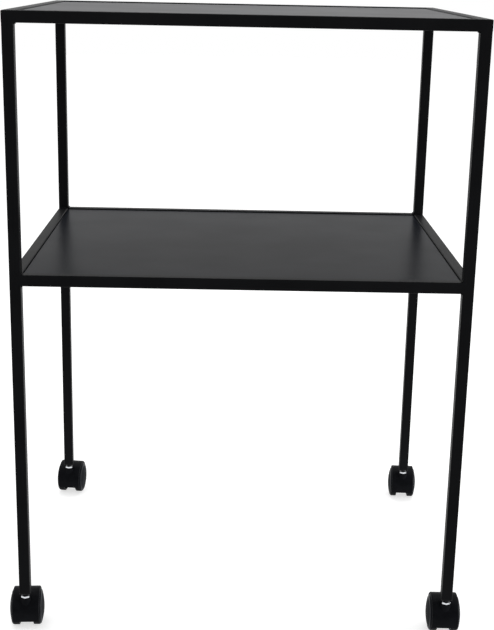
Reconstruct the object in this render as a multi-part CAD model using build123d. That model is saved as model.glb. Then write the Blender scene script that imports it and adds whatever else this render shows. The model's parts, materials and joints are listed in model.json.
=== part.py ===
from build123d import *
import math
import os

# A serving cart: a welded frame of square steel tube that holds two folded steel trays,
# on four twin-wheel casters that swivel. All sizes are in millimetres.
# X runs along the front, Y from the front to the back and Z up from the floor.
# The origin is on the floor, under the middle of the whole cart with its casters.

# The frame
cart_width = 600.0
cart_depth = 500.0
cart_height = 840.0
tube_side = 15.0
tube_wall = 1.5
tube_corner = 1.5
tube_inner_corner = 0.3
lower_rail_top = 510.0

# The folded trays
sheet_thickness = 1.2
tray_drop = 1.5
tray_flange = 9.5
tray_gap = 0.4
bend_radius = 1.5
corner_notch = 2.5

# The tabs on the rails that carry the trays
tab_length = 24.0
tab_reach = 8.0
tab_thickness = 2.0
tab_corner = 3.0
tab_from_corner = 90.0

# The plugs in the leg ends and the threaded bushes in them
plug_flange = 1.5
plug_depth = 20.0
plug_fit = 0.05
plug_lead_in = 1.0
plug_corner = 1.5
bush_radius = 5.0
bush_length = 15.0
bush_fit = 0.02

# The casters: wheels
wheel_radius = 25.0
wheel_gap = 19.0
rim_width = 11.3
rim_wall = 2.2
dome_height = 3.0
dome_wall = 2.0
shoulder_radius = 3.9
shoulder_land = 0.1
inner_edge_radius = 1.2
hub_radius = 6.0
wheel_spokes = 6
spoke_thickness = 1.6
spoke_setback = 2.5

# The casters: axle and the rings that keep the wheels on it
axle_radius = 3.0
axle_running_gap = 0.05
axle_end_gap = 0.5
axle_groove_depth = 0.6
axle_groove_from_end = 2.0
ring_thickness = 0.8
ring_width = 1.2
ring_opening = 50.0
ring_play = 0.3

# The casters: hood
trail = 20.0
wheel_to_hood = 1.3
hood_wall = 2.2
hood_width = 37.0
hood_edge_radius = 1.5
hood_back_angle = 20.0
hood_front_angle = 202.0
web_thickness = 6.0
axle_boss_radius = 6.5
axle_boss_to_wheel = 0.5
stem_boss_radius = 7.0
stem_boss_bottom = 19.0
stem_neck_half_width = 6.8
stem_neck_half_depth = 5.0
stem_neck_over_axle = 25.0
seat_play = 0.7

# The casters: stem
thread_radius = 4.0
thread_exposed = 4.0
thread_end_chamfer = 1.0
hex_across_flats = 11.0
hex_height = 2.5
hex_chamfer = 0.4
hex_to_neck = 0.3
pin_radius = 3.5
pin_running_gap = 0.06
pin_bottom = 20.5
pin_groove_depth = 0.7
pin_groove_height = 26.0
pin_ring_width = 1.4

# How far each caster has swivelled, in degrees about Z, from trailing straight back
swivel = {
    "front_left": 3.5,
    "front_right": -1.0,
    "back_left": -7.0,
    "back_right": -3.5,
}

# How near two radii are when an edge is picked by its radius
radius_match = 0.01

# Heights and places that follow from the sizes above
hood_inner = wheel_radius + wheel_to_hood
hood_outer = hood_inner + hood_wall
neck_top = wheel_radius + stem_neck_over_axle
hex_bottom = neck_top + hex_to_neck
hex_top = hex_bottom + hex_height
plug_bottom = hex_top + thread_exposed
leg_bottom = plug_bottom + plug_flange
leg_top = cart_height - tube_side
clear_width = cart_width - 2 * tube_side
clear_depth = cart_depth - 2 * tube_side
front_overhang = hood_outer - trail - tube_side / 2
back_reach = hood_outer * math.cos(math.radians(hood_back_angle))
back_overhang = trail + max(back_reach, wheel_radius) - tube_side / 2
frame_middle_y = (front_overhang - back_overhang) / 2
leg_x = (cart_width - tube_side) / 2
leg_y = (cart_depth - tube_side) / 2
corners = {
    "front_left": (-leg_x, frame_middle_y - leg_y),
    "front_right": (leg_x, frame_middle_y - leg_y),
    "back_left": (-leg_x, frame_middle_y + leg_y),
    "back_right": (leg_x, frame_middle_y + leg_y),
}
frame_middle = Pos(0, frame_middle_y, 0)


def tube_profile():
    inside = tube_side - 2 * tube_wall
    outer = RectangleRounded(tube_side, tube_side, tube_corner)
    return outer - RectangleRounded(inside, inside, tube_inner_corner)


def tube(length):
    """A square tube along Z, centred on its length."""
    return extrude(tube_profile(), amount=length / 2, both=True)


def mitred_rail(length):
    """A tube along X whose ends are cut at 45 degrees, longest at -Y."""
    half = length / 2
    outline = Polyline(
        (-half, -tube_side / 2),
        (half, -tube_side / 2),
        (half - tube_side, tube_side / 2),
        (-half + tube_side, tube_side / 2),
        close=True,
    )
    wedge = extrude(make_face(outline), amount=tube_side, both=True)
    return (Rot(0, 90, 0) * tube(length)) & wedge


def square_rail(length):
    """A tube along X with square ends."""
    return Rot(0, 90, 0) * tube(length)


def tray():
    """A sheet with its four edges folded down, and its top face at Z = 0."""
    width = clear_width - 2 * tray_gap
    depth = clear_depth - 2 * tray_gap
    down = Align.MAX
    outer = Box(width, depth, tray_flange, align=(Align.CENTER, Align.CENTER, down))
    outer = fillet(outer.faces().sort_by(Axis.Z)[-1].edges(), bend_radius)
    hollow = Box(
        width - 2 * sheet_thickness,
        depth - 2 * sheet_thickness,
        tray_flange,
        align=(Align.CENTER, Align.CENTER, down),
    )
    hollow = fillet(hollow.faces().sort_by(Axis.Z)[-1].edges(), bend_radius - sheet_thickness)
    shell = outer - Pos(0, 0, -sheet_thickness) * hollow
    notch = Box(2 * corner_notch, 2 * corner_notch, 3 * tray_flange)
    for side in (-1, 1):
        for end in (-1, 1):
            shell -= Pos(side * width / 2, end * depth / 2, 0) * notch
    return shell


def tray_tab():
    """A small plate that stands out from a rail's inner wall along +Y, top face at Z = 0."""
    plate = Box(tab_length, tab_reach, tab_thickness, align=(Align.CENTER, Align.MIN, Align.MAX))
    free_corners = plate.edges().filter_by(Axis.Z).group_by(Axis.Y)[-1]
    return fillet(free_corners, tab_corner)


def tray_tabs():
    """Eight tabs on the inner walls of one ring of rails, two on each rail."""
    tabs = []
    for half_run, half_span, turn in (
        (clear_width / 2, clear_depth / 2, 0),
        (clear_depth / 2, clear_width / 2, 90),
    ):
        for flip in (0, 180):
            for side in (-1, 1):
                along = side * (half_run - tab_from_corner)
                tabs.append(Rot(0, 0, turn + flip) * Pos(along, -half_span, 0) * tray_tab())
    return tabs


def leg_plug():
    """The plastic plug in a leg end: its flange under the tube, its body inside."""
    inside = tube_side - 2 * tube_wall - 2 * plug_fit
    flange = extrude(RectangleRounded(tube_side, tube_side, tube_corner), amount=plug_flange)
    body = extrude(RectangleRounded(inside, inside, plug_corner), amount=plug_depth)
    body = Pos(0, 0, plug_flange) * chamfer(body.faces().sort_by(Axis.Z)[-1].edges(), plug_lead_in)
    bottom = (Align.CENTER, Align.CENTER, Align.MIN)
    pocket = Pos(0, 0, plug_flange) * Cylinder(bush_radius + bush_fit, plug_depth, align=bottom)
    hole = Cylinder(thread_radius + bush_fit, plug_flange, align=bottom)
    return Pos(0, 0, plug_bottom) * (flange + body - pocket - hole)


def leg_bush():
    """The steel bush with the caster's thread, on the plug's flange."""
    bottom = (Align.CENTER, Align.CENTER, Align.MIN)
    bush = Cylinder(bush_radius, bush_length, align=bottom)
    bush -= Cylinder(thread_radius + bush_fit, bush_length, align=bottom)
    return Pos(0, 0, leg_bottom) * bush


def snap_ring(inner_radius, width, opening_angle):
    """A flat open ring, centred on Z, with its thickness along Z."""
    ring = Cylinder(inner_radius + width, ring_thickness) - Cylinder(inner_radius, ring_thickness)
    reach = 2 * (inner_radius + width)
    half_opening = reach * math.tan(math.radians(opening_angle / 2))
    mouth = Polyline((0, 0), (reach, half_opening), (reach, -half_opening), close=True)
    return ring - extrude(make_face(mouth), amount=ring_thickness, both=True)


def caster_stem():
    """The zinc-plated stem: thread above the hexagon, swivel pin below it."""
    bottom = (Align.CENTER, Align.CENTER, Align.MIN)
    top = leg_bottom + bush_length
    thread = Pos(0, 0, hex_top) * Cylinder(thread_radius, top - hex_top, align=bottom)
    thread = chamfer(thread.faces().sort_by(Axis.Z)[-1].edges(), thread_end_chamfer)
    hexagon = extrude(RegularPolygon(hex_across_flats / 2, 6, major_radius=False), amount=hex_height)
    hexagon = chamfer(hexagon.faces().filter_by(Axis.Z).edges(), hex_chamfer)
    corner_to_front = Rot(0, 0, 30)
    pin = Pos(0, 0, pin_bottom) * Cylinder(pin_radius, hex_bottom - pin_bottom, align=bottom)
    pin = chamfer(pin.faces().sort_by(Axis.Z)[0].edges(), pin_groove_depth)
    groove_width = ring_thickness + 2 * ring_play
    groove = Cylinder(2 * pin_radius, groove_width) - Cylinder(
        pin_radius - pin_groove_depth, groove_width
    )
    pin -= Pos(0, 0, pin_groove_height) * groove
    return thread + Pos(0, 0, hex_bottom) * corner_to_front * hexagon + pin


def stem_ring():
    """The open ring in the pin's groove, under the shoulder in the hood's socket."""
    inner = pin_radius - pin_groove_depth + ring_play / 2
    return Pos(0, 0, pin_groove_height) * snap_ring(inner, pin_ring_width, ring_opening)


def hood_sector(inner, outer, width):
    """A slice of a round drum about the axle, from the hood's back edge to its front edge."""
    centre = (trail, wheel_radius)
    turn = hood_front_angle - hood_back_angle
    outer_arc = CenterArc(centre, outer, hood_back_angle, turn)
    if inner > 0:
        inner_arc = CenterArc(centre, inner, hood_back_angle, turn)
        edges = [
            outer_arc,
            inner_arc,
            Line(outer_arc @ 0, inner_arc @ 0),
            Line(outer_arc @ 1, inner_arc @ 1),
        ]
    else:
        edges = [outer_arc, Line(outer_arc @ 0, centre), Line(outer_arc @ 1, centre)]
    return extrude(Plane.YZ * make_face(edges), amount=width / 2, both=True)


def circles_of_radius(shape, radius):
    """The circular edges of one radius, from -X to +X."""
    circles = shape.edges().filter_by(GeomType.CIRCLE)
    alike = circles.filter_by(lambda edge: abs(edge.radius - radius) < radius_match)
    return alike.sort_by(Axis.X)


def caster_hood():
    """The plastic hood: a curved shell over both wheels, carried by a web between them."""
    bottom = (Align.CENTER, Align.CENTER, Align.MIN)
    shell = hood_sector(hood_inner, hood_outer, hood_width)
    shell = fillet(circles_of_radius(shell, hood_outer), hood_edge_radius)
    web = hood_sector(0, hood_inner + hood_wall / 2, web_thickness)
    boss_length = wheel_gap - 2 * axle_boss_to_wheel
    axle_boss = Pos(0, trail, wheel_radius) * Rot(0, 90, 0) * Cylinder(axle_boss_radius, boss_length)
    neck_length = neck_top - stem_boss_bottom
    neck = extrude(Ellipse(stem_neck_half_width, stem_neck_half_depth), amount=neck_length)
    neck = Pos(0, 0, stem_boss_bottom) * neck
    stem_boss = Pos(0, 0, stem_boss_bottom) * Cylinder(stem_boss_radius, neck_length, align=bottom)
    drum = Rot(0, 90, 0) * Cylinder(hood_inner + hood_wall / 2, hood_width)
    stem_boss &= Pos(0, trail, wheel_radius) * drum
    seat_radius = hex_across_flats / math.sqrt(3) + seat_play
    seat = Pos(0, 0, neck_top) * Cylinder(seat_radius, hood_outer, align=bottom)
    hood = shell + web + axle_boss + stem_boss + neck - seat
    hood -= Cylinder(pin_radius + pin_running_gap, neck_top, align=bottom)
    shoulder = pin_groove_height + ring_thickness / 2 + ring_play
    ring_room = pin_radius - pin_groove_depth + pin_ring_width + 2 * ring_play
    hood -= Cylinder(ring_room, shoulder, align=bottom)
    axle_hole = Cylinder(axle_radius, wheel_gap)
    return hood - Pos(0, trail, wheel_radius) * Rot(0, 90, 0) * axle_hole


def caster_axle():
    """The steel axle through the hood, with a groove near each end."""
    length = wheel_gap + 2 * (rim_width - axle_end_gap)
    axle = Cylinder(axle_radius, length)
    axle = chamfer(axle.edges(), axle_groove_depth)
    groove_width = ring_thickness + 2 * ring_play
    groove = Cylinder(2 * axle_radius, groove_width) - Cylinder(
        axle_radius - axle_groove_depth, groove_width
    )
    for side in (-1, 1):
        axle -= Pos(0, 0, side * (length / 2 - axle_groove_from_end)) * groove
    return Pos(0, trail, wheel_radius) * Rot(0, 90, 0) * axle


def axle_rings():
    """The two open rings in the axle's grooves."""
    place = wheel_gap / 2 + rim_width - axle_end_gap - axle_groove_from_end
    inner = axle_radius - axle_groove_depth + ring_play / 2
    ring = Rot(0, 90, 0) * snap_ring(inner, ring_width, ring_opening)
    return [Pos(side * place, trail, wheel_radius) * ring for side in (-1, 1)]


def caster_wheel():
    """The right-hand wheel of a pair: a rim and a domed outer face on a hub, open inwards."""
    face = wheel_gap / 2
    rim_end = face + rim_width
    dome_rim = wheel_radius - shoulder_radius - shoulder_land
    dome_top = rim_end + dome_height
    dome_radius = (dome_rim**2 + dome_height**2) / (2 * dome_height)
    inside_rim = wheel_radius - rim_wall
    outer = Polyline(
        (face, 0),
        (face, wheel_radius),
        (rim_end, wheel_radius),
        (rim_end, dome_rim),
    )
    halfway = dome_rim / 2
    dome_at_halfway = dome_top - dome_radius + math.sqrt(dome_radius**2 - halfway**2)
    cap = ThreePointArc((rim_end, dome_rim), (dome_at_halfway, halfway), (dome_top, 0))
    body = revolve(make_face([outer, cap, Line((dome_top, 0), (face, 0))]), Axis.X)
    body = fillet(circles_of_radius(body, wheel_radius)[-1], shoulder_radius)
    body = fillet(circles_of_radius(body, wheel_radius)[0], inner_edge_radius)
    room = rim_end - dome_wall - face
    hollow = Pos(face + room / 2, 0, 0) * Rot(0, 90, 0) * Cylinder(inside_rim, room)
    hub = Pos(face + room / 2, 0, 0) * Rot(0, 90, 0) * Cylinder(hub_radius, room)
    spokes_room = room - spoke_setback
    spoke = Box(
        spokes_room,
        spoke_thickness,
        inside_rim,
        align=(Align.MAX, Align.CENTER, Align.MIN),
    )
    wheel = body - hollow + hub
    for number in range(wheel_spokes):
        turn = Rot(360 * number / wheel_spokes, 0, 0)
        wheel += Pos(face + room, 0, 0) * turn * spoke
    bore = Cylinder(axle_radius + axle_running_gap, rim_width)
    wheel -= Pos(face + rim_width / 2, 0, 0) * Rot(0, 90, 0) * bore
    ring_place = face + rim_width - axle_end_gap - axle_groove_from_end
    ring_room = axle_radius - axle_groove_depth + ring_width + 2 * ring_play
    groove = Cylinder(ring_room, ring_thickness + 2 * ring_play)
    wheel -= Pos(ring_place, 0, 0) * Rot(0, 90, 0) * groove
    return Pos(0, trail, wheel_radius) * wheel


def write(name, *solids):
    shape = solids[0] if len(solids) == 1 else Compound(children=list(solids))
    export_step(shape, f"parts/{name}.step")


os.makedirs("parts", exist_ok=True)

# The top ring of rails, mitred at its corners
top_z = cart_height - tube_side / 2
top_long = Pos(0, -leg_y, top_z) * mitred_rail(cart_width)
top_short = Rot(0, 0, -90) * Pos(0, -leg_x, top_z) * mitred_rail(cart_depth)
half_turn = Rot(0, 0, 180)
write("top_front_rail", frame_middle * top_long)
write("top_back_rail", frame_middle * half_turn * top_long)
write("top_left_rail", frame_middle * top_short)
write("top_right_rail", frame_middle * half_turn * top_short)

# The lower ring of rails, between the legs
lower_z = lower_rail_top - tube_side / 2
lower_long = Pos(0, -leg_y, lower_z) * square_rail(clear_width)
lower_short = Rot(0, 0, -90) * Pos(0, -leg_x, lower_z) * square_rail(clear_depth)
write("lower_front_rail", frame_middle * lower_long)
write("lower_back_rail", frame_middle * half_turn * lower_long)
write("lower_left_rail", frame_middle * lower_short)
write("lower_right_rail", frame_middle * half_turn * lower_short)

# The trays and the tabs under their folded edges
for level, rail_top in (("top", cart_height), ("lower", lower_rail_top)):
    tray_face = Pos(0, 0, rail_top - tray_drop)
    tab_face = Pos(0, 0, rail_top - tray_drop - tray_flange)
    write(f"{level}_tray", frame_middle * tray_face * tray())
    write(f"{level}_tray_tabs", *[frame_middle * tab_face * tab for tab in tray_tabs()])

# The legs, the casters and what joins them
leg = Pos(0, 0, (leg_top + leg_bottom) / 2) * tube(leg_top - leg_bottom)
plug = leg_plug()
bush = leg_bush()
stem = caster_stem()
pin_ring = stem_ring()
hood = caster_hood()
axle = caster_axle()
rings = axle_rings()
right_wheel = caster_wheel()
left_wheel = mirror(right_wheel, about=Plane.YZ)
write("leg_bushes", *[Pos(x, y, 0) * bush for x, y in corners.values()])
for corner, (x, y) in corners.items():
    here = Pos(x, y, 0)
    turned = here * Rot(0, 0, swivel[corner])
    write(f"{corner}_leg", here * leg)
    write(f"{corner}_leg_plug", here * plug)
    write(f"{corner}_stem", here * stem)
    write(f"{corner}_stem_ring", here * pin_ring)
    write(f"{corner}_hood", turned * hood)
    write(f"{corner}_axle", turned * axle)
    write(f"{corner}_axle_rings", *[turned * ring for ring in rings])
    write(f"{corner}_left_wheel", turned * left_wheel)
    write(f"{corner}_right_wheel", turned * right_wheel)

print("middle of the frame at Y =", round(frame_middle_y, 3))
for corner, (x, y) in corners.items():
    angle = math.radians(swivel[corner])
    axle_at = (x - trail * math.sin(angle), y + trail * math.cos(angle), wheel_radius)
    axle_along = (math.cos(angle), math.sin(angle), 0)
    print(corner, "stem at", (x, round(y, 3)), end=" ")
    print("axle at", [round(v, 4) for v in axle_at], "along", [round(v, 5) for v in axle_along])
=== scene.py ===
# %% [markdown]
# A black serving cart, from the floor up
# The cart is a welded frame of slim square steel tube. Two folded sheet-steel trays lie in it, and it
# rolls on four twin-wheel casters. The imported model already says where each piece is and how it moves.
# This lesson gives each piece its looks: the rounded edges that catch light, the weld beads, the screw
# threads, the moulded wheels and the satin black powder coat.

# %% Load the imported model
import json
import math
import random

import bmesh
import bpy
from mathutils import Matrix, Vector


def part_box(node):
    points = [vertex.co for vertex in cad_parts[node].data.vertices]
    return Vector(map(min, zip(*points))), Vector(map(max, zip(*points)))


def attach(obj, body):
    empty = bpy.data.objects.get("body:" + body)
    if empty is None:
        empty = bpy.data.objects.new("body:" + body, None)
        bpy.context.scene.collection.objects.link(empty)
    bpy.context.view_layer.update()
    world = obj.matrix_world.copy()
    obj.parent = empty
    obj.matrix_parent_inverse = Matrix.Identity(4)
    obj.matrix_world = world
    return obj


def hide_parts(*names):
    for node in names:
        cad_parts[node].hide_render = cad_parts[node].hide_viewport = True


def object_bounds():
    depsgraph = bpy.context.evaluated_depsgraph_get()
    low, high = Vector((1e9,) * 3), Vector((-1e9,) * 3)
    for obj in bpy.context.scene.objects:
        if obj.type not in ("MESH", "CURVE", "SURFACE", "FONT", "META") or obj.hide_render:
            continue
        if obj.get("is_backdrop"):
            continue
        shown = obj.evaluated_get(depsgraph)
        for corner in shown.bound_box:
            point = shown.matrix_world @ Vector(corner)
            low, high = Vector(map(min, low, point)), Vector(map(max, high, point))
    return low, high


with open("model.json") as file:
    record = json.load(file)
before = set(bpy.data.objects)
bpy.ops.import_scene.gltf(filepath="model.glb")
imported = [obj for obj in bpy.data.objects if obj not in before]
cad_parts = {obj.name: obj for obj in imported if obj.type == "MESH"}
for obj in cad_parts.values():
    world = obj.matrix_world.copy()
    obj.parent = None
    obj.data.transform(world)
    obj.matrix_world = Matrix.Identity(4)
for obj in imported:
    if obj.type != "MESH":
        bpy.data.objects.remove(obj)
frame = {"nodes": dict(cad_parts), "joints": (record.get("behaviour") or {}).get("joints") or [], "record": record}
cad_low, cad_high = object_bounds()
mm = 0.001
right_angle = math.radians(90)
scene = bpy.context.scene
joints = {joint["name"]: joint for joint in frame["joints"]}
corners = ("front_left", "front_right", "back_left", "back_right")
print("the cart is", [round(size / mm) for size in cad_high - cad_low], "mm overall")

# %% [markdown]
# The camera
# The photograph was taken from a little above the top tray, from the front, with a long lens. Two
# things decide whether a render can lie over it: where the lens was, and how wide it saw. Turning the
# camera by three plain angles is easier to check than a matrix of numbers, so it is turned to the
# right, tilted down and rolled, in that order. The small shift stands for the photograph having been
# cropped a little off centre.

# %% Place the camera
camera_place = Vector((-13.5, -1885.9, 893.2)) * mm
camera_turned_right = math.radians(0.573)
camera_tilted_down = math.radians(16.278)
camera_rolled = math.radians(1.146)
image_height_px = 630
lens_px = 1289.7
lens_centre_right_px = -3.94
lens_centre_down_px = 30.57
sensor_mm = 36

camera_data = bpy.data.cameras.new("camera")
camera_data.sensor_width = sensor_mm
camera_data.lens = lens_px / image_height_px * sensor_mm
camera_data.shift_x = -lens_centre_right_px / image_height_px
camera_data.shift_y = lens_centre_down_px / image_height_px
camera = bpy.data.objects.new("camera", camera_data)
scene.collection.objects.link(camera)
camera.matrix_world = (
    Matrix.Translation(camera_place)
    @ Matrix.Rotation(-camera_turned_right, 4, "Z")
    @ Matrix.Rotation(right_angle - camera_tilted_down, 4, "X")
    @ Matrix.Rotation(camera_rolled, 4, "Z")
)
scene.camera = camera
print("lens", round(camera_data.lens, 1), "mm on a", sensor_mm, "mm sensor")

# %% [markdown]
# Small helpers for node trees
# Every surface here is a node tree. Three short helpers keep them readable: one adds a node, one joins
# two sockets, and one answers the question "is this ray looking at the background?". A camera ray, a
# mirror-like ray and a ray through glass should all see a white studio. Other rays carry light, and
# they should carry only as much as the lamps and the sky give.

# %% Node helpers
def add_node(tree, kind, **settings):
    node = tree.nodes.new(kind)
    for setting, value in settings.items():
        setattr(node, setting, value)
    return node


def join(tree, source, target):
    tree.links.new(source, target)


def looking_ray(tree):
    """A socket that is 1 for a camera, glossy or transmission ray and 0 for any other."""
    rays = add_node(tree, "ShaderNodeLightPath")
    either = add_node(tree, "ShaderNodeMath", operation="MAXIMUM")
    any_of_three = add_node(tree, "ShaderNodeMath", operation="MAXIMUM")
    join(tree, rays.outputs["Is Camera Ray"], either.inputs[0])
    join(tree, rays.outputs["Is Glossy Ray"], either.inputs[1])
    join(tree, either.outputs[0], any_of_three.inputs[0])
    join(tree, rays.outputs["Is Transmission Ray"], any_of_three.inputs[1])
    return any_of_three.outputs[0]


print("node helpers: add_node, join and looking_ray")

# %% [markdown]
# The white studio
# A catalogue picture of a black object is a picture of what the object reflects. The studio here is
# white all round, which gives the soft grey on the trays. The sky has two strengths. Rays that look at
# it see a plain white of 1, and the view transform Standard shows colours as they are written, so that
# is the white of the picture. Rays that carry light get a little less, so the cart isn't washed out.

# %% Paint the sky white
scene.view_settings.view_transform = "Standard"
white = (1, 1, 1, 1)
sky_strength = 0.8
seen_strength = 1.0

world = bpy.data.worlds.new("white_studio")
scene.world = world
world.use_nodes = True
sky_tree = world.node_tree
sky_tree.nodes.clear()


def white_background(strength):
    background = add_node(sky_tree, "ShaderNodeBackground")
    background.inputs["Color"].default_value = white
    background.inputs["Strength"].default_value = strength
    return background.outputs[0]


sky_choice = add_node(sky_tree, "ShaderNodeMixShader")
sky_output = add_node(sky_tree, "ShaderNodeOutputWorld")
join(sky_tree, looking_ray(sky_tree), sky_choice.inputs[0])
join(sky_tree, white_background(sky_strength), sky_choice.inputs[1])
join(sky_tree, white_background(seen_strength), sky_choice.inputs[2])
join(sky_tree, sky_choice.outputs[0], sky_output.inputs[0])
print("the sky lights with", sky_strength, "and is seen with", seen_strength)

# %% [markdown]
# Softboxes
# Three weak softboxes add a little direction to the white: one above, one on the right that brightens
# the wheels' outer faces on that side, and a very weak one on the left. The right one stands lower than
# both trays, so neither of them can mirror it. A lamp shines along its own -Z, and to_track_quat turns
# that towards the point it is aimed at.

# %% Hang three softboxes
def softbox(name, place, aim, width, height, watts):
    lamp = bpy.data.lights.new(name, "AREA")
    lamp.shape = "RECTANGLE"
    lamp.size = width
    lamp.size_y = height
    lamp.energy = watts
    holder = bpy.data.objects.new(name, lamp)
    scene.collection.objects.link(holder)
    holder.location = place
    holder.rotation_euler = (Vector(aim) - Vector(place)).to_track_quat("-Z", "Y").to_euler()


softbox("top_softbox", place=(0.0, 0.6, 2.6), aim=(0.0, 0.0, 0.4), width=2.5, height=2.0, watts=30)
softbox("right_softbox", place=(1.9, -0.2, 0.27), aim=(0.0, -0.05, 0.1), width=1.2, height=0.4, watts=22)
softbox("left_softbox", place=(-1.9, 0.0, 0.9), aim=(0.0, 0.0, 0.5), width=0.7, height=1.6, watts=2)
print(len(bpy.data.lights), "softboxes")

# %% [markdown]
# From a bmesh to an object, and the start of a finish
# A bmesh is a mesh on the workbench. When it is done it becomes an object that stays at the origin,
# with its place in its mesh. A finish starts as a material with one Principled shader and a few plain
# values. The floor needs both helpers first, and every piece after it needs them too.

# %% Object and finish helpers
def object_from(bm, name):
    mesh = bpy.data.meshes.new(name)
    bm.to_mesh(mesh)
    bm.free()
    made = bpy.data.objects.new(name, mesh)
    scene.collection.objects.link(made)
    return made


def new_finish(name, colour, roughness, metallic=0.0, specular=0.5):
    finish = bpy.data.materials.new(name)
    finish.use_nodes = True
    shader = finish.node_tree.nodes["Principled BSDF"]
    shader.inputs["Base Color"].default_value = (*colour, 1)
    shader.inputs["Roughness"].default_value = roughness
    shader.inputs["Metallic"].default_value = metallic
    shader.inputs["Specular IOR Level"].default_value = specular
    return finish, finish.node_tree, shader


print("helpers: object_from and new_finish")

# %% [markdown]
# Floor
# The floor is a large pale disc. Its own light is only for rays that look at it, so it reads as white
# without lighting the cart from below, and it still holds the soft shadow under the casters.

# %% Lay the floor
floor_radius = 12.0
floor_sides = 96
floor_pale = (0.6, 0.6, 0.6)
floor_roughness = 0.9
floor_glow = 0.62

bm = bmesh.new()
bmesh.ops.create_circle(bm, cap_ends=True, segments=floor_sides, radius=floor_radius)
floor = object_from(bm, "studio_floor")
floor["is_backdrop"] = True

floor_paint, floor_tree, floor_shader = new_finish("floor_paint", floor_pale, floor_roughness)
floor_shader.inputs["Emission Color"].default_value = white
floor_light = add_node(floor_tree, "ShaderNodeMath", operation="MULTIPLY")
floor_light.inputs[1].default_value = floor_glow
join(floor_tree, looking_ray(floor_tree), floor_light.inputs[0])
join(floor_tree, floor_light.outputs[0], floor_shader.inputs["Emission Strength"])
floor.data.materials.append(floor_paint)
print("floor", 2 * floor_radius, "m across")

# %% [markdown]
# The black card
# In the photograph the faces of the tubes that look at the camera are nearly black, while the trays are
# grey. A photographer gets that with a sheet of black card in front of the object, out of the picture.
# This one curves up from the floor in front of the cart. Only reflections see it: it casts no shadow
# and takes no light from the cart, so it changes the gloss and nothing else. It is one edge, pulled out
# strip by strip.

# %% Hang the black card
card_half_width = 1.6
card_line = ((-0.42, 0.002), (-1.2, 0.002), (-1.5, 0.5), (-1.5, 1.2), (-1.1, 1.9))
card_black = (0.01, 0.01, 0.01)


def grow_edges(bm, edges, step):
    """Pull edges out by a step and return the new edges."""
    grown = bmesh.ops.extrude_edge_only(bm, edges=edges)["geom"]
    verts = [item for item in grown if isinstance(item, bmesh.types.BMVert)]
    bmesh.ops.translate(bm, verts=verts, vec=step)
    return [item for item in grown if isinstance(item, bmesh.types.BMEdge)]


bm = bmesh.new()
card_start = [bm.verts.new((x, *card_line[0])) for x in (-card_half_width, card_half_width)]
card_edge = [bm.edges.new(card_start)]
for here, there in zip(card_line, card_line[1:]):
    card_edge = grow_edges(bm, card_edge, (0, there[0] - here[0], there[1] - here[1]))
card = object_from(bm, "black_card")
card.visible_camera = False
card.visible_diffuse = False
card.visible_shadow = False
card_paper, _, _ = new_finish("card_paper", card_black, roughness=1.0, specular=0.0)
card.data.materials.append(card_paper)
card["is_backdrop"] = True
print("card of", len(card.data.polygons), "strips")

# %% [markdown]
# Unevenness
# No real surface has one colour and one gloss. Patches of slightly different colour and gloss come from
# a large soft noise, and ripples come from a fine noise in the bump. All noise reads Object coordinates
# in metres, so a grain of 0.6 mm is 0.6 mm on every piece. A noise seldom leaves the middle of its
# range, so the mixes that follow it run from end to end within that middle.

# %% Noise of a real size, and ripples in the bump
noise_low = 0.35
noise_high = 0.65


def noise_of_size(tree, size_mm, detail, stretch=(1, 1, 1)):
    """A noise whose features are about size_mm across; stretch over 1 squeezes it along an axis."""
    place = add_node(tree, "ShaderNodeTexCoord")
    mapping = add_node(tree, "ShaderNodeMapping")
    mapping.inputs["Scale"].default_value = stretch
    noise = add_node(tree, "ShaderNodeTexNoise")
    noise.inputs["Scale"].default_value = 1 / (size_mm * mm)
    noise.inputs["Detail"].default_value = detail
    join(tree, place.outputs["Object"], mapping.inputs["Vector"])
    join(tree, mapping.outputs["Vector"], noise.inputs["Vector"])
    return noise.outputs["Fac"]


def ripple(tree, shader, layers):
    """Bump from one or more noises; each layer is (socket, depth in mm)."""
    surface = None
    for height, depth_mm in layers:
        bump = add_node(tree, "ShaderNodeBump")
        bump.inputs["Strength"].default_value = 1.0
        bump.inputs["Distance"].default_value = depth_mm * mm
        join(tree, height, bump.inputs["Height"])
        if surface is not None:
            join(tree, surface, bump.inputs["Normal"])
        surface = bump.outputs["Normal"]
    join(tree, surface, shader.inputs["Normal"])


print("a grain of 0.6 mm is a noise scale of", round(1 / (0.6 * mm)))

# %% [markdown]
# Colour and gloss that drift
# Paint, plastic and plating all drift in the same two ways, only more or less of it and over different
# distances. One helper lets the colour wander between a darker and a lighter shade of itself, and
# another does so with the roughness.

# %% Drift helpers
def ramp_between(tree, factor, low, high):
    """Two colours, mixed by where the factor lies in the noise's range."""
    ramp = add_node(tree, "ShaderNodeValToRGB")
    ramp.color_ramp.elements[0].position = noise_low
    ramp.color_ramp.elements[0].color = (*low, 1)
    ramp.color_ramp.elements[1].position = noise_high
    ramp.color_ramp.elements[1].color = (*high, 1)
    join(tree, factor, ramp.inputs["Fac"])
    return ramp.outputs["Color"]


def range_between(tree, factor, low, high):
    """A number that goes from low to high as the factor crosses the noise's range."""
    spread = add_node(tree, "ShaderNodeMapRange")
    spread.inputs["From Min"].default_value = noise_low
    spread.inputs["From Max"].default_value = noise_high
    spread.inputs["To Min"].default_value = low
    spread.inputs["To Max"].default_value = high
    join(tree, factor, spread.inputs["Value"])
    return spread.outputs["Result"]


def drift_colour(tree, shader, colour, darkest, lightest, size_mm, detail):
    """Let the colour wander between two shades of itself; darkest and lightest are factors."""
    darker, lighter = (tuple(part * factor for part in colour) for factor in (darkest, lightest))
    drift = noise_of_size(tree, size_mm, detail)
    join(tree, ramp_between(tree, drift, darker, lighter), shader.inputs["Base Color"])


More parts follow.
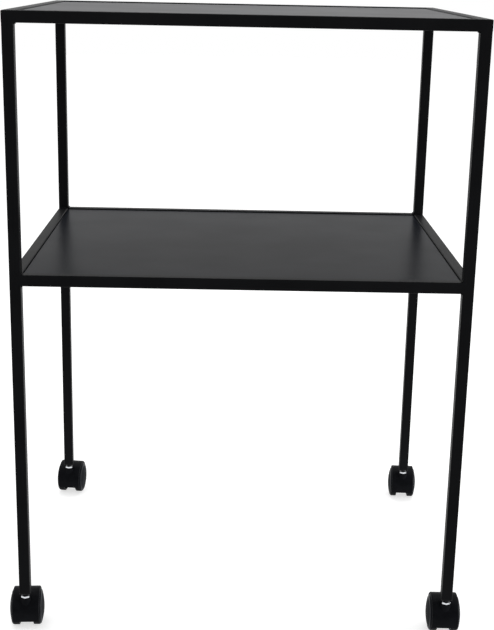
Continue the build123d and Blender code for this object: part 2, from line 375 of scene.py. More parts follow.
def drift_roughness(tree, shader, roughness, glossier, duller, size_mm, detail):
    """Let the roughness wander a little below and above its value."""
    drift = noise_of_size(tree, size_mm, detail)
    wandering = range_between(tree, drift, roughness - glossier, roughness + duller)
    join(tree, wandering, shader.inputs["Roughness"])


print("the noise's range is", noise_low, "to", noise_high)

# %% [markdown]
# Powder coat
# The frame and the trays are powder coated: dry paint dust is sprayed on, then baked until it melts and
# flows together. It never gets quite flat. Fine orange peel, about a millimetre across, breaks up every
# reflection, and the gloss drifts a little from place to place. The trays get the same powder, but a
# wide sheet takes it more evenly than a thin tube, so their ripple is finer and a slow wave of the
# sheet shows under it.

# %% Powder coat for the tubes and the trays
def powder_coat(name, colour, roughness, specular, peel_mm, peel_depth_mm, wave_mm, wave_depth_mm):
    finish, tree, shader = new_finish(name, colour, roughness, specular=specular)
    drift_colour(tree, shader, colour, darkest=0.9, lightest=1.1, size_mm=60, detail=3)
    drift_roughness(tree, shader, roughness, glossier=0.01, duller=0.01, size_mm=90, detail=2)
    peel = noise_of_size(tree, peel_mm, detail=1)
    wave = noise_of_size(tree, wave_mm, detail=1)
    ripple(tree, shader, [(wave, wave_depth_mm), (peel, peel_depth_mm)])
    return finish


frame_coat = powder_coat(
    "frame_powder_coat",
    colour=(0.0078, 0.0080, 0.0088),
    roughness=0.42,
    specular=0.03,
    peel_mm=1.1,
    peel_depth_mm=0.012,
    wave_mm=18,
    wave_depth_mm=0.02,
)
tray_coat = powder_coat(
    "tray_powder_coat",
    colour=(0.0076, 0.0088, 0.0122),
    roughness=0.305,
    specular=0.014,
    peel_mm=0.9,
    peel_depth_mm=0.006,
    wave_mm=140,
    wave_depth_mm=0.02,
)
print("powder coats:", frame_coat.name, "and", tray_coat.name)

# %% [markdown]
# Plastics
# Three black plastics touch the floor end of the cart. The plugs in the leg ends are soft and matt. The
# hoods are moulded in a tool with a fine spark texture. The wheels are hard nylon and a little bluer. A
# moulding sinks a little where it is thick, and that shows as a slow, shallow wave under the grain of
# the tool.

# %% Plug, hood and wheel plastics
sink_mm = 12
sink_depth_mm = 0.03


def moulded_plastic(name, colour, roughness, grain_mm, grain_depth_mm, specular):
    finish, tree, shader = new_finish(name, colour, roughness, specular=specular)
    drift_colour(tree, shader, colour, darkest=0.85, lightest=1.15, size_mm=9, detail=3)
    drift_roughness(tree, shader, roughness, glossier=0.03, duller=0.04, size_mm=4, detail=4)
    grain = noise_of_size(tree, grain_mm, detail=2)
    sink = noise_of_size(tree, sink_mm, detail=0)
    ripple(tree, shader, [(sink, sink_depth_mm), (grain, grain_depth_mm)])
    return finish


plug_plastic = moulded_plastic(
    "plug_plastic",
    colour=(0.005, 0.005, 0.0052),
    roughness=0.62,
    grain_mm=0.5,
    grain_depth_mm=0.01,
    specular=0.2,
)
hood_plastic = moulded_plastic(
    "hood_plastic",
    colour=(0.0056, 0.0060, 0.0074),
    roughness=0.42,
    grain_mm=0.35,
    grain_depth_mm=0.006,
    specular=0.03,
)
wheel_plastic = moulded_plastic(
    "wheel_plastic",
    colour=(0.0050, 0.0060, 0.0080),
    roughness=0.62,
    grain_mm=0.45,
    grain_depth_mm=0.004,
    specular=0.04,
)
print("each plastic has", len(plug_plastic.node_tree.nodes), "nodes")

# %% [markdown]
# Zones of wear
# The wheels' domed faces are matt, their round shoulders are polished, and the tread is scuffed dull
# where it rolls. How far a point is from the axle decides which of the three it is. That is stored on
# the wheel's mesh as two attributes, so the pattern turns with the wheel.

# %% Polish the wheels' shoulders and scuff their treads
scuff_size_mm = 2.5


def stored_zone(tree, name):
    """The value of an attribute that is stored on the mesh."""
    return add_node(tree, "ShaderNodeAttribute", attribute_name=name).outputs["Fac"]


def mix_wear_and_shade(finish, amount, colour, roughness):
    """Mix another colour and roughness over a finish, by a factor from 0 to 1."""
    tree = finish.node_tree
    shader = tree.nodes["Principled BSDF"]
    for socket_name, other in (("Base Color", colour), ("Roughness", (roughness,) * 3)):
        socket = shader.inputs[socket_name]
        clean = socket.links[0].from_socket
        blend = add_node(tree, "ShaderNodeMix", data_type="RGBA")
        join(tree, amount, blend.inputs["Factor"])
        join(tree, clean, blend.inputs["A"])
        blend.inputs["B"].default_value = (*other, 1)
        join(tree, blend.outputs["Result"], socket)


wheel_tree = wheel_plastic.node_tree
mix_wear_and_shade(wheel_plastic, stored_zone(wheel_tree, "shoulder"), colour=(0.005, 0.006, 0.0085), roughness=0.3)
scuffs = noise_of_size(wheel_tree, scuff_size_mm, detail=5)
scuffed = add_node(wheel_tree, "ShaderNodeMath", operation="MULTIPLY")
join(wheel_tree, stored_zone(wheel_tree, "tread"), scuffed.inputs[0])
join(wheel_tree, range_between(wheel_tree, scuffs, low=0.2, high=1.0), scuffed.inputs[1])
mix_wear_and_shade(wheel_plastic, scuffed.outputs[0], colour=(0.012, 0.012, 0.0125), roughness=0.75)
print("the wheel plastic has", len(wheel_tree.nodes), "nodes")

# %% [markdown]
# Bare and plated steel
# The caster stems are zinc plated: bright, faintly blue, with a cloudy gloss. Their threads and the
# tops of their hexagons are painted darker. This is painted shade for the leg plug's shadow and a painted
# dark reflection of the plug's underside, and an attribute on the stem's mesh says where. Axles and
# bushes are turned on a lathe and keep faint rings. The open retaining rings are stamped from dark spring
# steel. A metal has no colour of its own under the shine, so Metallic is 1 and the colour is that of the
# reflection.

# %% Zinc, turned steel and spring steel
def steel(name, colour, roughness, grain_depth_mm, grain_stretch=(1, 1, 1)):
    finish, tree, shader = new_finish(name, colour, roughness, metallic=1.0)
    drift_colour(tree, shader, colour, darkest=0.86, lightest=1.0, size_mm=3, detail=5)
    drift_roughness(tree, shader, roughness, glossier=0.05, duller=0.07, size_mm=1.5, detail=4)
    grain = noise_of_size(tree, size_mm=0.5, detail=3, stretch=grain_stretch)
    ripple(tree, shader, [(grain, grain_depth_mm)])
    return finish


lathe_rings = (6, 1, 1)
zinc_plate = steel("zinc_plate", (0.70, 0.72, 0.75), roughness=0.2, grain_depth_mm=0.003)
turned_steel = steel(
    "turned_steel", (0.56, 0.56, 0.57), roughness=0.3, grain_depth_mm=0.004, grain_stretch=lathe_rings
)
spring_steel = steel("spring_steel", (0.2, 0.2, 0.21), roughness=0.35, grain_depth_mm=0.004)
# Painted shade: the thread and the hexagon's top are painted dark for the plug's shadow and its dark reflection.
painted_plug_shade = stored_zone(zinc_plate.node_tree, "painted_plug_shade")
mix_wear_and_shade(zinc_plate, painted_plug_shade, colour=(0.06, 0.06, 0.065), roughness=0.4)
print("steels:", [finish.name for finish in (zinc_plate, turned_steel, spring_steel)])

# %% [markdown]
# A finished piece
# When a piece of the cart is done, it is hung on the body that carries it and takes its finish, and the
# plain solid that it stands for is hidden. Flat faces next to small round edges shade badly when every
# normal is averaged, so a Weighted Normal modifier lets the large faces decide, and edges over 35
# degrees stay crisp.

# %% The finishing helpers
crisp_angle = math.radians(35)


def finish_piece(bm, name, body, finish, stands_for):
    """Turn every face outwards, then finish; not for sheet that has its thickness already."""
    bmesh.ops.recalc_face_normals(bm, faces=bm.faces[:])
    return finish_as_is(bm, name, body, finish, stands_for)


def finish_as_is(bm, name, body, finish, stands_for):
    piece = object_from(bm, name)
    piece.data.shade_smooth()
    piece.data.set_sharp_from_angle(angle=crisp_angle)
    piece.data.materials.append(finish)
    normals = piece.modifiers.new("flat_faces_lead", "WEIGHTED_NORMAL")
    normals.keep_sharp = True
    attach(piece, body)
    if stands_for:
        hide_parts(*stands_for)
    return piece


print("edges over", round(math.degrees(crisp_angle)), "degrees stay crisp")

# %% [markdown]
# Three workbench helpers
# Rounding, moving and turning come back in nearly every piece. The bevel operator doesn't have the
# editor's defaults, so one helper always asks it for a round profile and tells it to leave the material
# alone. On single points it cuts off corners, and on edges it rounds a fold.

# %% Round off, move and turn
def round_off(bm, geom, radius, steps, affect="VERTICES"):
    bmesh.ops.bevel(
        bm,
        geom=geom,
        offset=radius,
        offset_type="OFFSET",
        segments=steps,
        profile=0.5,
        affect=affect,
        material=-1,
    )


def move_all(bm, step):
    bmesh.ops.translate(bm, verts=bm.verts[:], vec=step)


def turn_all(bm, angle, axis):
    bmesh.ops.rotate(bm, verts=bm.verts[:], matrix=Matrix.Rotation(angle, 3, axis))


print("workbench helpers: round_off, move_all and turn_all")

# %% [markdown]
# Rings and skins
# Tubes and plugs are all the same idea: closed rings of edges, stacked, with a skin between each ring
# and the next. A rounded square ring starts as one square face whose four corners are bevelled. The
# face is then taken away and its edges stay. A round ring gets as many points, so the two can be
# joined. Bridging two rings makes the skin.

# %% Ring helpers
corner_steps = 4
ring_points = 4 * (corner_steps + 1)


def square_ring(bm, side, corner_radius, height):
    """The edges of a rounded square, centred on Z at a height."""
    square = bmesh.ops.create_grid(bm, x_segments=1, y_segments=1, size=side / 2)
    before = set(bm.faces) - set(square["verts"][0].link_faces)
    round_off(bm, square["verts"], corner_radius, corner_steps)
    face = next(face for face in bm.faces if face not in before)
    verts = list(face.verts)
    edges = list(face.edges)
    bmesh.ops.delete(bm, geom=[face], context="FACES_ONLY")
    bmesh.ops.translate(bm, verts=verts, vec=(0, 0, height))
    return edges


def round_ring(bm, radius, height, points=ring_points):
    """The edges of a circle at a height, with a point on each diagonal as a square ring has."""
    circle = bmesh.ops.create_circle(bm, segments=points, radius=radius)
    half_step = Matrix.Rotation(math.pi / points, 3, "Z")
    bmesh.ops.rotate(bm, verts=circle["verts"], matrix=half_step)
    bmesh.ops.translate(bm, verts=circle["verts"], vec=(0, 0, height))
    return list({edge for vert in circle["verts"] for edge in vert.link_edges})


def skin(bm, rings, closed=False):
    """Faces from each ring to the next, and from the last to the first if closed."""
    pairs = list(zip(rings, rings[1:]))
    if closed:
        pairs.append((rings[-1], rings[0]))
    for one, other in pairs:
        bmesh.ops.bridge_loops(bm, edges=one + other)


print("a ring has", ring_points, "points")

# %% [markdown]
# Square tubes
# Slim furniture frames are made of cold-rolled square tube, here 15 mm with a 1.5 mm wall. Its corners
# are rolled, not sharp, and that small radius is what draws the thin light line along every edge. Each
# tube is four rings: outside and inside, at both ends. Where two top rails meet, the ends are sawn at
# 45 degrees. A shear does that: it slides each end point along the tube by as much as it lies to the
# side.

# %% Make a tube along Z
tube_wall = 1.5 * mm
tube_corner = 1.5 * mm
tube_inner_corner = 0.3 * mm


def square_tube(bm, side, length, mitred=False):
    """A hollow tube centred on the origin along Z; mitred ends are longest at -Y."""
    inside = side - 2 * tube_wall
    rings = [
        square_ring(bm, side, tube_corner, -length / 2),
        square_ring(bm, side, tube_corner, length / 2),
        square_ring(bm, inside, tube_inner_corner, length / 2),
        square_ring(bm, inside, tube_inner_corner, -length / 2),
    ]
    skin(bm, rings, closed=True)
    if mitred:
        for end in (-1, 1):
            slide = Matrix.Identity(4)
            slide[2][1] = -end
            slide[2][3] = -end * side / 2
            verts = [vert for vert in bm.verts if vert.co.z * end > 0]
            bmesh.ops.transform(bm, matrix=slide, verts=verts)


print("tube wall", tube_wall / mm, "mm, corner radius", tube_corner / mm, "mm")

# %% [markdown]
# The frame
# Four legs stand under a mitred ring of rails, and four square-cut rails run between the legs for the
# lower shelf. Each tube takes its place from the solid that it stands for. On the real cart the outer
# welds are ground flush, so no seam shows where two tubes meet. Rounded tube corners would leave a
# small groove there. The tube that butts against another therefore reaches one wall deep into it, which
# closes the groove with a face that lies level with both.

# %% Cut the tubes
def tube_in_box(node, along, mitre_turn=None, weld_ends=()):
    """A tube that fills the box of a solid; mitre_turn, in degrees, turns its long side outwards.

    weld_ends names the ends, -1 or 1, that reach one wall deep into the tube they are welded to.
    """
    low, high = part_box(node)
    axis = "XYZ".index(along)
    for end in weld_ends:
        corner_of_box = high if end > 0 else low
        corner_of_box[axis] += end * tube_wall
    size = high - low
    side = min(size)
    bm = bmesh.new()
    square_tube(bm, side, size[axis], mitred=mitre_turn is not None)
    if mitre_turn is not None:
        turn_all(bm, math.radians(mitre_turn), "Z")
    if along != "Z":
        turn_all(bm, right_angle, "Y" if along == "X" else "X")
    move_all(bm, (low + high) / 2)
    return finish_piece(bm, f"{node}_tube", "frame", frame_coat, [node])


for corner in corners:
    leg = tube_in_box(f"{corner}_leg", "Z", weld_ends=(1,))
for side_name in ("front", "back", "left", "right"):
    along = "X" if side_name in ("front", "back") else "Y"
    tube_in_box(f"lower_{side_name}_rail", along, weld_ends=(-1, 1))
tube_in_box("top_front_rail", "X", mitre_turn=0)
tube_in_box("top_back_rail", "X", mitre_turn=180)
tube_in_box("top_left_rail", "Y", mitre_turn=-90)
tube_in_box("top_right_rail", "Y", mitre_turn=90)
print("a leg has", len(leg.data.polygons), "faces")

# %% [markdown]
# One weld bead
# In the inner corners the welds are left as they are, because a grinder doesn't fit there. A bead is a
# small roll of metal with a ripple for each time the torch paused. Here it is a thin rod in the corner
# of two faces. It is cut into rings, every other ring is a little slimmer, no two ripples are quite
# alike, and the two ends are drawn in. Most of the rod is buried in the tubes, so only the rippled
# quarter that faces out is seen.

# %% Shape a bead
bead_radius = 1.5 * mm
bead_from_corner = 0.3 * mm
bead_ripple = 1.3 * mm
fewest_ripples = 4
ripple_depth = 0.08
ripple_unevenness = 0.02
bead_end_slimmer = 0.55
bead_sides = 14
unsteady_hand = random.Random(15)


def weld_bead(bm, start, end, open_side):
    """A rippled bead from start to end, moved a little towards the open side of the corner."""
    run = end - start
    turned = run.to_track_quat("Z", "Y").to_matrix().to_4x4()
    place = Matrix.Translation(start + open_side * bead_from_corner) @ turned
    count = 2 * max(fewest_ripples, round(run.length / bead_ripple))
    rings = []
    for number in range(count + 1):
        uneven = unsteady_hand.uniform(-ripple_unevenness, ripple_unevenness)
        slimmer = 1 - ripple_depth * (number % 2) + uneven
        if number in (0, count):
            slimmer = bead_end_slimmer
        ring = round_ring(bm, bead_radius * slimmer, number / count * run.length, bead_sides)
        bmesh.ops.transform(bm, matrix=place, verts=list({vert for edge in ring for vert in edge.verts}))
        rings.append(ring)
    skin(bm, rings)
    for ring in (rings[0], rings[-1]):
        bmesh.ops.contextual_create(bm, geom=ring)


print("a bead is", 2 * bead_radius / mm, "mm thick")

# %% [markdown]
# The beads at each corner
# At each shelf two rails meet at every leg. Under the top rails, and under and over the lower rails, a
# bead runs across each of the leg's two inner faces. Where the two rails themselves meet, a short
# upright bead fills their corner. It ends well below the top of the rails, where the tray's edge lies.

# %% Lay the beads
bead_inset = tube_corner
bead_below_top = 3 * tube_corner


def rail_end_beads(bm, leg_low, leg_high, inward_x, inward_y, height, up):
    """Beads on a leg, along the two rail faces at one height; up says which way the corner opens."""
    face_x = leg_high.x if inward_x > 0 else leg_low.x
    face_y = leg_high.y if inward_y > 0 else leg_low.y
    low = leg_low + Vector((bead_inset, bead_inset, 0))
    high = leg_high - Vector((bead_inset, bead_inset, 0))
    for start, end, open_side in (
        ((face_x, low.y, height), (face_x, high.y, height), (inward_x, 0, up)),
        ((low.x, face_y, height), (high.x, face_y, height), (0, inward_y, up)),
    ):
        weld_bead(bm, Vector(start), Vector(end), Vector(open_side))


top_ring_low, top_ring_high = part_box("top_front_rail")
lower_ring_low, lower_ring_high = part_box("lower_front_rail")
for corner in corners:
    low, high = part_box(f"{corner}_leg")
    inward_x = 1 if "left" in corner else -1
    inward_y = 1 if "front" in corner else -1
    bm = bmesh.new()
    for height, up in ((top_ring_low.z, -1), (lower_ring_low.z, -1), (lower_ring_high.z, 1)):
        rail_end_beads(bm, low, high, inward_x, inward_y, height, up)
    inner_x = high.x if inward_x > 0 else low.x
    inner_y = high.y if inward_y > 0 else low.y
    for ring_low, ring_high in ((top_ring_low, top_ring_high), (lower_ring_low, lower_ring_high)):
        foot = Vector((inner_x, inner_y, ring_low.z + bead_inset))
        head = Vector((inner_x, inner_y, ring_high.z - bead_below_top))
        weld_bead(bm, foot, head, Vector((inward_x, inward_y, 0)))
    beads = finish_piece(bm, f"{corner}_weld_beads", "frame", frame_coat, [])
print("the beads at a corner have", len(beads.data.polygons), "faces")

# %% [markdown]
# The folded trays
# A tray is one sheet of 1.2 mm steel. Small squares are punched out of its corners, and its four edges
# are folded down on a press. The bend has a radius, and it shows as a soft line along the tray. The
# model is made as the sheet is: the middle first, a short step out on each side, then the edges folded
# down, the fold lines rounded, and the thickness last. A Bevel modifier takes the burr off the cut
# edges. It has to come before the Weighted Normal modifier, which reads the faces that it leaves.

# %% Fold the trays
sheet_thickness = 1.2 * mm
bend_radius = 1.5 * mm
bend_steps = 5
corner_notch = 2.5 * mm
deburred = 0.15 * mm
deburr_steps = 2
cut_edge_angle = math.radians(60)


def folded_sheet(size):
    """A flat sheet with its edges folded down, its middle at the origin and its top at Z = 0."""
    bm = bmesh.new()
    sheet = bmesh.ops.create_grid(bm, x_segments=1, y_segments=1, size=0.5)
    flat = Vector((size.x - 2 * corner_notch, size.y - 2 * corner_notch, 1))
    bmesh.ops.scale(bm, verts=sheet["verts"], vec=flat)
    fold_lines = []
    for edge in list(bm.edges):
        outward = (edge.verts[0].co + edge.verts[1].co) / 2
        outward.normalize()
        fold_line = grow_edges(bm, [edge], outward * corner_notch)
        grow_edges(bm, fold_line, Vector((0, 0, -size.z)))
        fold_lines += fold_line
    round_off(bm, fold_lines, bend_radius, bend_steps, affect="EDGES")
    bmesh.ops.recalc_face_normals(bm, faces=bm.faces[:])
    widest = max(bm.faces, key=lambda face: face.calc_area())
    if widest.normal.z < 0:
        bmesh.ops.reverse_faces(bm, faces=bm.faces[:])
    bmesh.ops.solidify(bm, geom=bm.faces[:], thickness=sheet_thickness)
    return bm


for level in ("top", "lower"):
    node = f"{level}_tray"
    low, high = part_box(node)
    bm = folded_sheet(high - low)
    middle = (low + high) / 2
    move_all(bm, (middle.x, middle.y, high.z))
    tray = finish_as_is(bm, f"{level}_tray_sheet", "frame", tray_coat, [node])
    edge_round = tray.modifiers.new("deburred_edges", "BEVEL")
    edge_round.width = deburred
    edge_round.segments = deburr_steps
    edge_round.limit_method = "ANGLE"
    edge_round.angle_limit = cut_edge_angle
    tray.modifiers.move(1, 0)
    print(level, "tray", [round(length / mm, 1) for length in high - low], "mm")

# %% [markdown]
# Leg plugs
# A plastic plug closes the foot of each leg. Its flange is as wide as the tube and a little rounded
# below, and its body holds the steel bush that the caster screws into. It is one stack of rings, from
# the hole in the flange, out round the flange, up inside the tube and back down the pocket for the
# bush. Two rings in one plane give bridge_loops no way to tell if they run the same way round, so each
# flat step slopes a hair.

# %% Mould the plugs
plug_flange = 1.5 * mm
plug_edge = 0.5 * mm
plug_edge_middle = 0.3 * plug_edge
plug_fit = 0.05 * mm
plug_lead_in = 1.0 * mm
bush_radius = 5.02 * mm
thread_hole_radius = 4.02 * mm
hair = 0.02 * mm


def leg_plug(corner):
    node = f"{corner}_leg_plug"
    low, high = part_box(node)
    side = high.x - low.x
    length = high.z - low.z
    inside = side - 2 * tube_wall - 2 * plug_fit
    bm = bmesh.new()
    rings = [
        round_ring(bm, thread_hole_radius, hair),
        square_ring(bm, side - 2 * plug_edge, tube_corner, 0),
        square_ring(bm, side - plug_edge_middle, tube_corner, plug_edge_middle),
        square_ring(bm, side, tube_corner, plug_edge),
        square_ring(bm, side, tube_corner, plug_flange),
        square_ring(bm, inside, tube_corner, plug_flange + hair),
        square_ring(bm, inside, tube_corner, length - plug_lead_in),
        square_ring(bm, inside - 2 * plug_lead_in, tube_corner, length),
        round_ring(bm, bush_radius, length - hair),
        round_ring(bm, bush_radius, plug_flange + hair),
        round_ring(bm, thread_hole_radius, plug_flange),
    ]
    skin(bm, rings, closed=True)
    middle = (low + high) / 2
    move_all(bm, (middle.x, middle.y, low.z))
    return finish_piece(bm, f"{corner}_leg_plug_cap", "frame", plug_plastic, [node])


for corner in corners:
    plug = leg_plug(corner)
print("a plug has", len(plug.data.polygons), "faces")

# %% [markdown]
# The stems' screw thread
# A caster stem is one turned and zinc-plated piece of steel: an 8 mm screw with a 1.25 mm pitch, a
# hexagon for the spanner, and below it a plain pin that the hood swivels on. A screw thread is a tooth
# profile spun about its axis while it climbs. The spin operator takes the climb for each step as dvec,
# the turns are merged into one ribbon, and two planes cut it to length. Where a plane just touches an
# edge it leaves a face with no area, and dissolve_degenerate takes those away.

# %% Cut the thread
thread_radius = 4.0 * mm
thread_pitch = 1.25 * mm
thread_depth = 0.72 * mm
thread_flat = 0.16 * mm
thread_steps = 28
thread_run_in = 1.5 * thread_pitch
merge_distance = 0.001 * mm


def profile_line(bm, points):
    """Points (across, up) in the XZ plane, joined in order by edges."""
    verts = [bm.verts.new((across, 0, up)) for across, up in points]
    edges = [bm.edges.new(pair) for pair in zip(verts, verts[1:])]
    return verts + edges


def screw_thread(bottom, top):
    """A closed threaded rod from one height to another."""
    bm = bmesh.new()
    flank = (thread_pitch - 2 * thread_flat) / 2
    root = thread_radius - thread_depth
    start = bottom - thread_run_in
    tooth = [
        (root, start),
        (root, start + thread_flat),
        (thread_radius, start + thread_flat + flank),
        (thread_radius, start + 2 * thread_flat + flank),
        (root, start + thread_pitch),
    ]
    turns = math.ceil((top - start) / thread_pitch) + 1
    bmesh.ops.spin(
        bm,
        geom=profile_line(bm, tooth),
        cent=(0, 0, 0),
        axis=(0, 0, 1),
        dvec=(0, 0, thread_pitch / thread_steps),
        angle=2 * math.pi * turns,
        steps=thread_steps * turns,
    )
    bmesh.ops.remove_doubles(bm, verts=bm.verts[:], dist=merge_distance)
    for height, outward in ((bottom, -1), (top, 1)):
        cut = bmesh.ops.bisect_plane(
            bm,
            geom=bm.verts[:] + bm.edges[:] + bm.faces[:],
            plane_co=(0, 0, height),
            plane_no=(0, 0, outward),
            clear_outer=True,
        )
        rim = [item for item in cut["geom_cut"] if isinstance(item, bmesh.types.BMEdge)]
        bmesh.ops.contextual_create(bm, geom=rim)
    bmesh.ops.dissolve_degenerate(bm, dist=merge_distance, edges=bm.edges[:])
    return bm


print("the thread climbs", thread_pitch / mm, "mm a turn, in", thread_steps, "steps")

# %% [markdown]
# The stems' hexagon
# Below the thread a hexagon takes the spanner. create_cone with two equal radii and six sides makes it,
# with a corner to the front already, as in the photograph. Its corners are chamfered, so that they
# don't cut a hand.

# %% Chamfer a hexagon
hex_flats = 11.0 * mm
hex_bottom = 50.3 * mm
hex_height = 2.5 * mm
hex_chamfer = 0.55 * mm
hex_chamfer_steps = 2
hex_top = hex_bottom + hex_height
hex_radius = hex_flats / math.sqrt(3)


def hexagon_head():
    bm = bmesh.new()
    bmesh.ops.create_cone(
        bm,
        cap_ends=True,
        segments=6,
        radius1=hex_radius,
        radius2=hex_radius,
        depth=hex_height,
    )
    round_off(bm, bm.verts[:], hex_chamfer, hex_chamfer_steps)
    move_all(bm, (0, 0, hex_bottom + hex_height / 2))
    return bm


print("the hexagon is", round(2 * hex_radius / mm, 1), "mm across its corners")

# %% [markdown]
# The stems' swivel pin
# The pin under the hexagon is what the hood turns on. Near its foot it has a groove for an open ring
# that keeps the hood on. A turned piece is half of its own section, spun once round. Merging the points
# that fall together on the axis closes both poles.

# %% Turn the swivel pin
pin_radius = 3.5 * mm
pin_groove_depth = 0.7 * mm
pin_groove_height = 26.0 * mm
pin_groove_width = 1.4 * mm
round_steps = 48


def spin_round(bm, profile, axis=(0, 0, 1), steps=round_steps):
    """A full turn of a profile about an axis through the origin."""
    bmesh.ops.spin(
        bm,
        geom=profile,
        cent=(0, 0, 0),
        axis=axis,
        angle=2 * math.pi,
        steps=steps,
        use_merge=True,
    )
    bmesh.ops.remove_doubles(bm, verts=bm.verts[:], dist=merge_distance)


def swivel_pin(bottom, top):
    """A plain pin with a ring groove and a chamfered foot."""
    groove_low = pin_groove_height - pin_groove_width / 2
    groove_high = pin_groove_height + pin_groove_width / 2
    neck = pin_radius - pin_groove_depth
    outline = [
        (0, bottom),
        (neck, bottom),
        (pin_radius, bottom + pin_groove_depth),
        (pin_radius, groove_low),
        (neck, groove_low),
        (neck, groove_high),
        (pin_radius, groove_high),
        (pin_radius, top),
        (0, top),
    ]
    bm = bmesh.new()
    spin_round(bm, profile_line(bm, outline))
    return bm


print("the pin is", 2 * pin_radius / mm, "mm thick")

# %% [markdown]
# The stems, put together
# Thread, hexagon and pin are made apart, because merging doubles in one of them must not touch the
# others. A mesh carries each one over to the thread's bmesh. Each stem takes its place and its length
# from its solid. Where the painted shade darkens it is stored on the finished stem: 1 on the thread and
# the hexagon's top, which lie in the leg plug's shadow, and 0 elsewhere.

# %% Make the caster stems
# Painted shade starts here: from the hexagon's top face up, the stem is painted dark.
plug_shade_line = hex_top - 0.01 * mm


def add_part(whole, part):
    """Copy one bmesh into another, by way of a mesh, and let go of it."""
    carrier = bpy.data.meshes.new("carrier")
    part.to_mesh(carrier)
    part.free()
    whole.from_mesh(carrier)
    bpy.data.meshes.remove(carrier)


# Painted shade: 1 on the thread and the hexagon's top, 0 below them.
def paint_plug_shade(mesh):
    zone = mesh.attributes.new("painted_plug_shade", "FLOAT", "POINT")
    for vert in mesh.vertices:
        zone.data[vert.index].value = float(vert.co.z > plug_shade_line)


def caster_stem(corner):
    node = f"{corner}_stem"
    low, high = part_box(node)
    stem = screw_thread(hex_top, high.z)
    add_part(stem, hexagon_head())
    add_part(stem, swivel_pin(low.z, hex_bottom))
    middle = (low + high) / 2
    move_all(stem, (middle.x, middle.y, 0))
    piece = finish_piece(stem, f"{corner}_stem_bolt", "frame", zinc_plate, [node])
    paint_plug_shade(piece.data)
    return piece


for corner in corners:
    stem = caster_stem(corner)
print("a stem has", len(stem.data.polygons), "faces")

# %% [markdown]
# Where each caster stands
# A caster swivels about its stem and trails behind it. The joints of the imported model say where: the
# two wheels spin about points either side of the axle's middle, and their axis says which way the
# caster has turned. Everything below is modelled once, with the stem at the origin and the axle behind
# it, and this matrix carries it to its corner.

# %% Read the casters' places from the joints
def caster_place(corner):
    swivel = Vector(joints[f"{corner}_swivel"]["pos_m"])
    axle = Vector(joints[f"{corner}_right_wheel_spin"]["axis"])
    turned = math.atan2(axle.y, axle.x)
    return Matrix.Translation((swivel.x, swivel.y, 0)) @ Matrix.Rotation(turned, 4, "Z")


def axle_middle(corner):
    left = Vector(joints[f"{corner}_left_wheel_spin"]["pos_m"])
    right = Vector(joints[f"{corner}_right_wheel_spin"]["pos_m"])
    return (left + right) / 2


first_swivel = Vector(joints["front_left_swivel"]["pos_m"])
trail = (axle_middle("front_left") - first_swivel).to_2d().length
wheel_radius = axle_middle("front_left").z
print("trail", round(trail / mm, 2), "mm, wheel radius", round(wheel_radius / mm, 2), "mm")

# %% [markdown]
# The wheels' cup
# Each wheel is a moulded cup: a tread, a domed outer face with a generous round shoulder, and a hub
# with a blind hole for the axle and a wider room in it for the axle's ring. The cup is one closed
# outline, spun about the axle. The outline is drawn with sharp corners and its round corners are
# bevels, while the dome is a single point spun about the dome's own centre.

# %% Spin the cup
wheel_face = 9.5 * mm
rim_width = 11.3 * mm
rim_wall = 2.2 * mm
dome_height = 3.0 * mm
dome_wall = 2.0 * mm
shoulder_radius = 3.9 * mm
shoulder_land = 0.1 * mm
inner_edge_radius = 1.2 * mm
hub_radius = 6.0 * mm
bore_radius = 3.05 * mm
ring_room_radius = 4.2 * mm
ring_room_middle = 18.3 * mm
ring_room_width = 1.4 * mm
dome_steps = 10
shoulder_steps = 10
inner_edge_steps = 5
wheel_steps = 96
rim_end = wheel_face + rim_width
cup_floor = rim_end - dome_wall


def wheel_cup():
    """The right-hand wheel about the X axis, without its ribs."""
    dome_rim = wheel_radius - shoulder_radius - shoulder_land
    dome_radius = (dome_rim**2 + dome_height**2) / (2 * dome_height)
    dome_top = rim_end + dome_height
    room_near = ring_room_middle - ring_room_width / 2
    room_far = ring_room_middle + ring_room_width / 2
    outline = [
        (rim_end, wheel_radius),
        (wheel_face, wheel_radius),
        (wheel_face, wheel_radius - rim_wall),
        (cup_floor, wheel_radius - rim_wall),
        (cup_floor, hub_radius),
        (wheel_face, hub_radius),
        (wheel_face, bore_radius),
        (room_near, bore_radius),
        (room_near, ring_room_radius),
        (room_far, ring_room_radius),
        (room_far, bore_radius),
        (rim_end, bore_radius),
        (rim_end, 0),
    ]
    bm = bmesh.new()
    bmesh.ops.spin(
        bm,
        geom=[bm.verts.new((dome_top, 0, 0))],
        cent=(dome_top - dome_radius, 0, 0),
        axis=(0, -1, 0),
        angle=math.asin(dome_rim / dome_radius),
        steps=dome_steps,
    )
    previous = max(bm.verts, key=lambda vert: vert.co.z)
    rest = []
    for along, out in outline:
        vert = bm.verts.new((along, 0, out))
        bm.edges.new((previous, vert))
        rest.append(vert)
        previous = vert
    round_off(bm, rest[:1], shoulder_radius, shoulder_steps)
    round_off(bm, rest[1:2], inner_edge_radius, inner_edge_steps)
    spin_round(bm, bm.verts[:] + bm.edges[:], axis=(1, 0, 0), steps=wheel_steps)
    return bm


print("a wheel is", rim_width / mm, "mm wide, and its dome adds", dome_height / mm, "mm")

# %% [markdown]
# The wheels' ribs
# A thin moulded cup needs ribs from its hub to its rim, or it would bend. They only show from behind.
# Each is a cube, stretched to a thin plate, turned about the axle, and rooted a little way into the
# hub, the rim and the floor of the cup, so that no gap shows.

# %% Add the ribs
rib_count = 6
rib_thickness = 1.6 * mm
rib_setback = 2.5 * mm
rib_root = 0.3 * mm


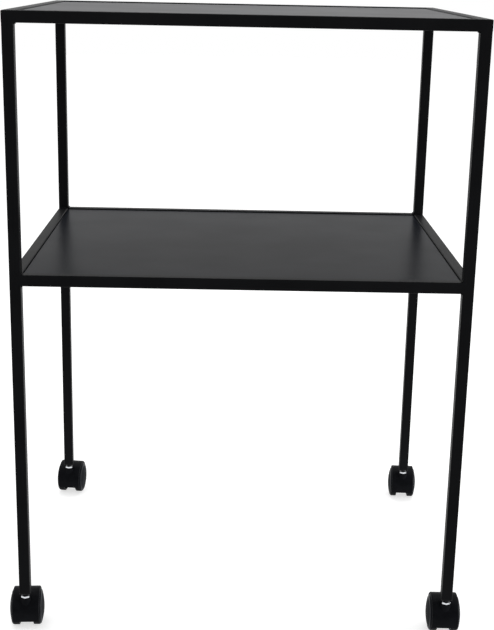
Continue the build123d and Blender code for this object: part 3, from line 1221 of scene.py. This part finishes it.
def add_ribs(bm):
    near = wheel_face + rib_setback
    inner = hub_radius - rib_root
    outer = wheel_radius - rim_wall + rib_root
    size = Vector((cup_floor - near + rib_root, rib_thickness, outer - inner))
    middle = Vector(((cup_floor + near + rib_root) / 2, 0, (inner + outer) / 2))
    for number in range(rib_count):
        rib = bmesh.ops.create_cube(bm, size=1.0)["verts"]
        bmesh.ops.scale(bm, verts=rib, vec=size)
        bmesh.ops.translate(bm, verts=rib, vec=middle)
        turned = Matrix.Rotation(2 * math.pi * number / rib_count, 3, "X")
        bmesh.ops.rotate(bm, verts=rib, matrix=turned)


print(rib_count, "ribs of", rib_thickness / mm, "mm")

# %% [markdown]
# The wheels, put on their axles
# The left wheel of a caster is the mirror image of the right one: a negative scale makes it, and
# finishing turns its faces outwards again. Then each wheel goes to its caster, and the two zones of
# wear that the plastic reads are stored on it. Each zone fades in over a short distance.

# %% Make the wheels
tread_depth = 0.6 * mm
tread_fade = 0.5 * mm
shoulder_fade = 0.3 * mm


def mark_zones(mesh, hub, along):
    """Store how much each vertex belongs to the tread and to the polished shoulder."""
    zone_starts = {
        "tread": (wheel_radius - tread_depth, tread_fade),
        "shoulder": (wheel_radius - shoulder_radius - shoulder_fade, shoulder_fade),
    }
    for zone_name, (start, fade) in zone_starts.items():
        zone = mesh.attributes.new(zone_name, "FLOAT", "POINT")
        for vert in mesh.vertices:
            across = vert.co - hub
            reach = (across - along * across.dot(along)).length
            zone.data[vert.index].value = min(max((reach - start) / fade, 0.0), 1.0)


def caster_wheel(corner, side):
    node = f"{corner}_{side}_wheel"
    bm = wheel_cup()
    add_ribs(bm)
    if side == "left":
        bmesh.ops.scale(bm, verts=bm.verts[:], vec=(-1, 1, 1))
    move_all(bm, (0, trail, wheel_radius))
    bmesh.ops.transform(bm, matrix=caster_place(corner), verts=bm.verts[:])
    piece = finish_piece(bm, f"{node}_disc", node, wheel_plastic, [node])
    mark_zones(piece.data, axle_middle(corner), Vector(joints[f"{corner}_right_wheel_spin"]["axis"]))
    return piece


for corner in corners:
    for side in ("left", "right"):
        wheel = caster_wheel(corner, side)
print("a wheel has", len(wheel.data.polygons), "faces")

# %% [markdown]
# Solids that keep their shape
# The tabs, bushes, rings, axles and hoods already have their true shape, so they keep their solids and
# only get their finish.

# %% Finish the solids that stay
finish_of_slot = {
    "frame_coat": frame_coat,
    "tray_coat": tray_coat,
    "plug_plastic": plug_plastic,
    "hood_plastic": hood_plastic,
    "wheel_plastic": wheel_plastic,
    "zinc_steel": zinc_plate,
    "turned_steel": turned_steel,
    "spring_steel": spring_steel,
}
slot_of_node = {part["node"]: part["material_slot"] for part in frame["record"]["subparts"]}
for name, node in frame["nodes"].items():
    node.data.materials.clear()
    node.data.materials.append(finish_of_slot[slot_of_node[name]])
print(len(frame["nodes"]), "solids have their finish, from", len(finish_of_slot), "slots")

# %% [markdown]
# Check the size
# The visual model is meant to stay inside the box of the solids. The last cell measures both boxes and prints how
# far the visual model reaches past the solids' box.

# %% Measure both boxes
scene_low, scene_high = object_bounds()
past_low = [round(step / mm, 3) for step in cad_low - scene_low]
past_high = [round(step / mm, 3) for step in scene_high - cad_high]
print("past the solids' box by", past_low, past_high, "mm")
